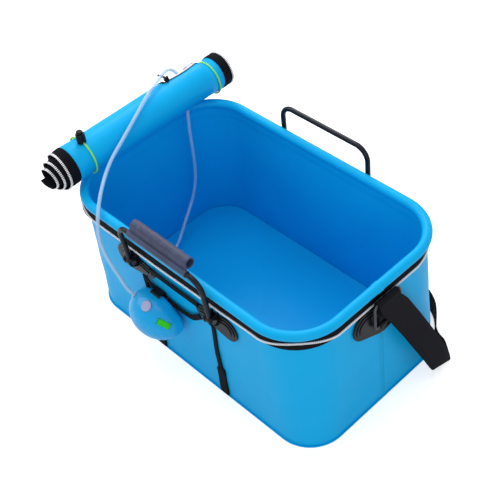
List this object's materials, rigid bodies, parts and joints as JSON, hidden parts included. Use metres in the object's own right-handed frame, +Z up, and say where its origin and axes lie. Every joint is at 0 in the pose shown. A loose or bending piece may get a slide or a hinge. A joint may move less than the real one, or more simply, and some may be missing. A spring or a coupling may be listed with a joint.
{
  "type": "aerated bait bucket",
  "caption": "Soft-sided bait bucket with its zip lid rolled back, folding bails, a shoulder strap and a hang-on air pump whose hose runs through the lid into the tub.",
  "frame": {"origin": "centre of the tub's underside, on the floor", "axes": "+X along the tub's long side, away from the rolled lid; -Y the side the pump hangs on; +Z up"},
  "size_m": [0.5766, 0.3977, 0.3293],
  "materials": {
    "blue_sheet": "satin",
    "white_plastic": "satin",
    "black_webbing": "matte",
    "black_plastic": "satin",
    "steel": "satin",
    "lime_elastic": "matte",
    "grip_leather": "satin",
    "pump_blue": "gloss",
    "soft_rubber": "matte",
    "lilac_button": "gloss",
    "green_switch": "gloss",
    "clear_hose": "gloss",
    "green_board": "matte",
    "cell_wrap": "satin",
    "grey_stone": "matte"
  },
  "bodies": {
    "tub": {"air_hose": "clear_hose", "air_stone": "grey_stone", "bail_pins": "steel", "cord_lock_body": "black_plastic", "cord_lock_spring": "steel", "end_bracket_left": "black_plastic", "end_bracket_right": "black_plastic", "front_bracket_left": "black_plastic", "front_bracket_right": "black_plastic", "hanger_strap": "black_webbing", "hatch_mesh": "black_webbing", "hatch_slider": "black_plastic", "hatch_tape": "black_webbing", "hatch_teeth": "white_plastic", "lid_sheet": "blue_sheet", "lid_tape_front": "black_webbing", "lid_tape_rear": "black_webbing", "lid_teeth_front": "white_plastic", "lid_teeth_rear": "white_plastic", "load_strap_front_left": "black_webbing", "load_strap_front_right": "black_webbing", "load_strap_rear_left": "black_webbing", "load_strap_rear_right": "black_webbing", "pump_battery": "cell_wrap", "pump_circuit_board": "green_board", "pump_clip": "black_plastic", "pump_front_shell": "pump_blue", "pump_head": "black_plastic", "pump_motor": "steel", "pump_nozzle": "clear_hose", "pump_rear_shell": "pump_blue", "pump_screws": "steel", "pump_seal": "soft_rubber", "rear_bracket_left": "black_plastic", "rear_bracket_right": "black_plastic", "rim_core": "white_plastic", "rim_sleeve": "blue_sheet", "seam_tape": "blue_sheet", "shoulder_strap": "black_webbing", "tie_cord_front": "lime_elastic", "tie_cord_rear": "lime_elastic", "tub_floor": "blue_sheet", "tub_wall": "blue_sheet", "tub_zip_tape": "black_webbing", "tub_zip_teeth": "white_plastic"},
    "front_bail_body": {"front_bail": "black_plastic", "grip_wrap": "grip_leather"},
    "rear_bail_body": {"rear_bail": "black_plastic"},
    "right_ring_body": {"end_ring_right": "black_plastic", "strap_end_right": "black_webbing"},
    "left_ring_body": {"end_ring_left": "black_plastic", "strap_end_left": "black_webbing"},
    "hatch_pull_body": {"hatch_pull": "black_plastic"},
    "lock_plunger_body": {"cord_lock_plunger": "black_plastic"},
    "button_body": {"pump_button": "lilac_button"},
    "switch_body": {"pump_switch": "green_switch"}
  },
  "joints": [
    {"name": "front_bail_hinge", "type": "hinge", "parent": "tub", "child": "front_bail_body", "pos_m": [0, -0.165, 0.196], "axis": [1, 0, 0], "range_deg": [-4.4, 130]},
    {"name": "rear_bail_hinge", "type": "hinge", "parent": "tub", "child": "rear_bail_body", "pos_m": [0, 0.165, 0.196], "axis": [1, 0, 0], "range_deg": [-170, 1]},
    {"name": "right_ring_hinge", "type": "hinge", "parent": "tub", "child": "right_ring_body", "pos_m": [0.262, 0.006, 0.178], "axis": [0, 1, 0], "range_deg": [0, 25]},
    {"name": "left_ring_hinge", "type": "hinge", "parent": "tub", "child": "left_ring_body", "pos_m": [-0.262, 0.006, 0.178], "axis": [0, -1, 0], "range_deg": [0, 25]},
    {"name": "hatch_pull_hinge", "type": "hinge", "parent": "tub", "child": "hatch_pull_body", "pos_m": [-0.25089, 0.0715, 0.31512], "axis": [0, -1, 0], "range_deg": [0, 20]},
    {"name": "lock_plunger_slide", "type": "slide", "parent": "tub", "child": "lock_plunger_body", "axis": [0, 0, -1], "range_m": [0, 0.003], "stiffness_N_per_m": 150, "deforming": ["cord_lock_spring"]},
    {"name": "pump_button_slide", "type": "slide", "parent": "tub", "child": "button_body", "axis": [-0.0554, 0.457, -0.8877], "range_m": [0, 0.0012], "stiffness_N_per_m": 400},
    {"name": "pump_switch_rocker", "type": "hinge", "parent": "tub", "child": "switch_body", "pos_m": [-0.00169, -0.18604, 0.13613], "axis": [0, 0.7447, 0.6674], "range_deg": [-5, 5]}
  ]
}
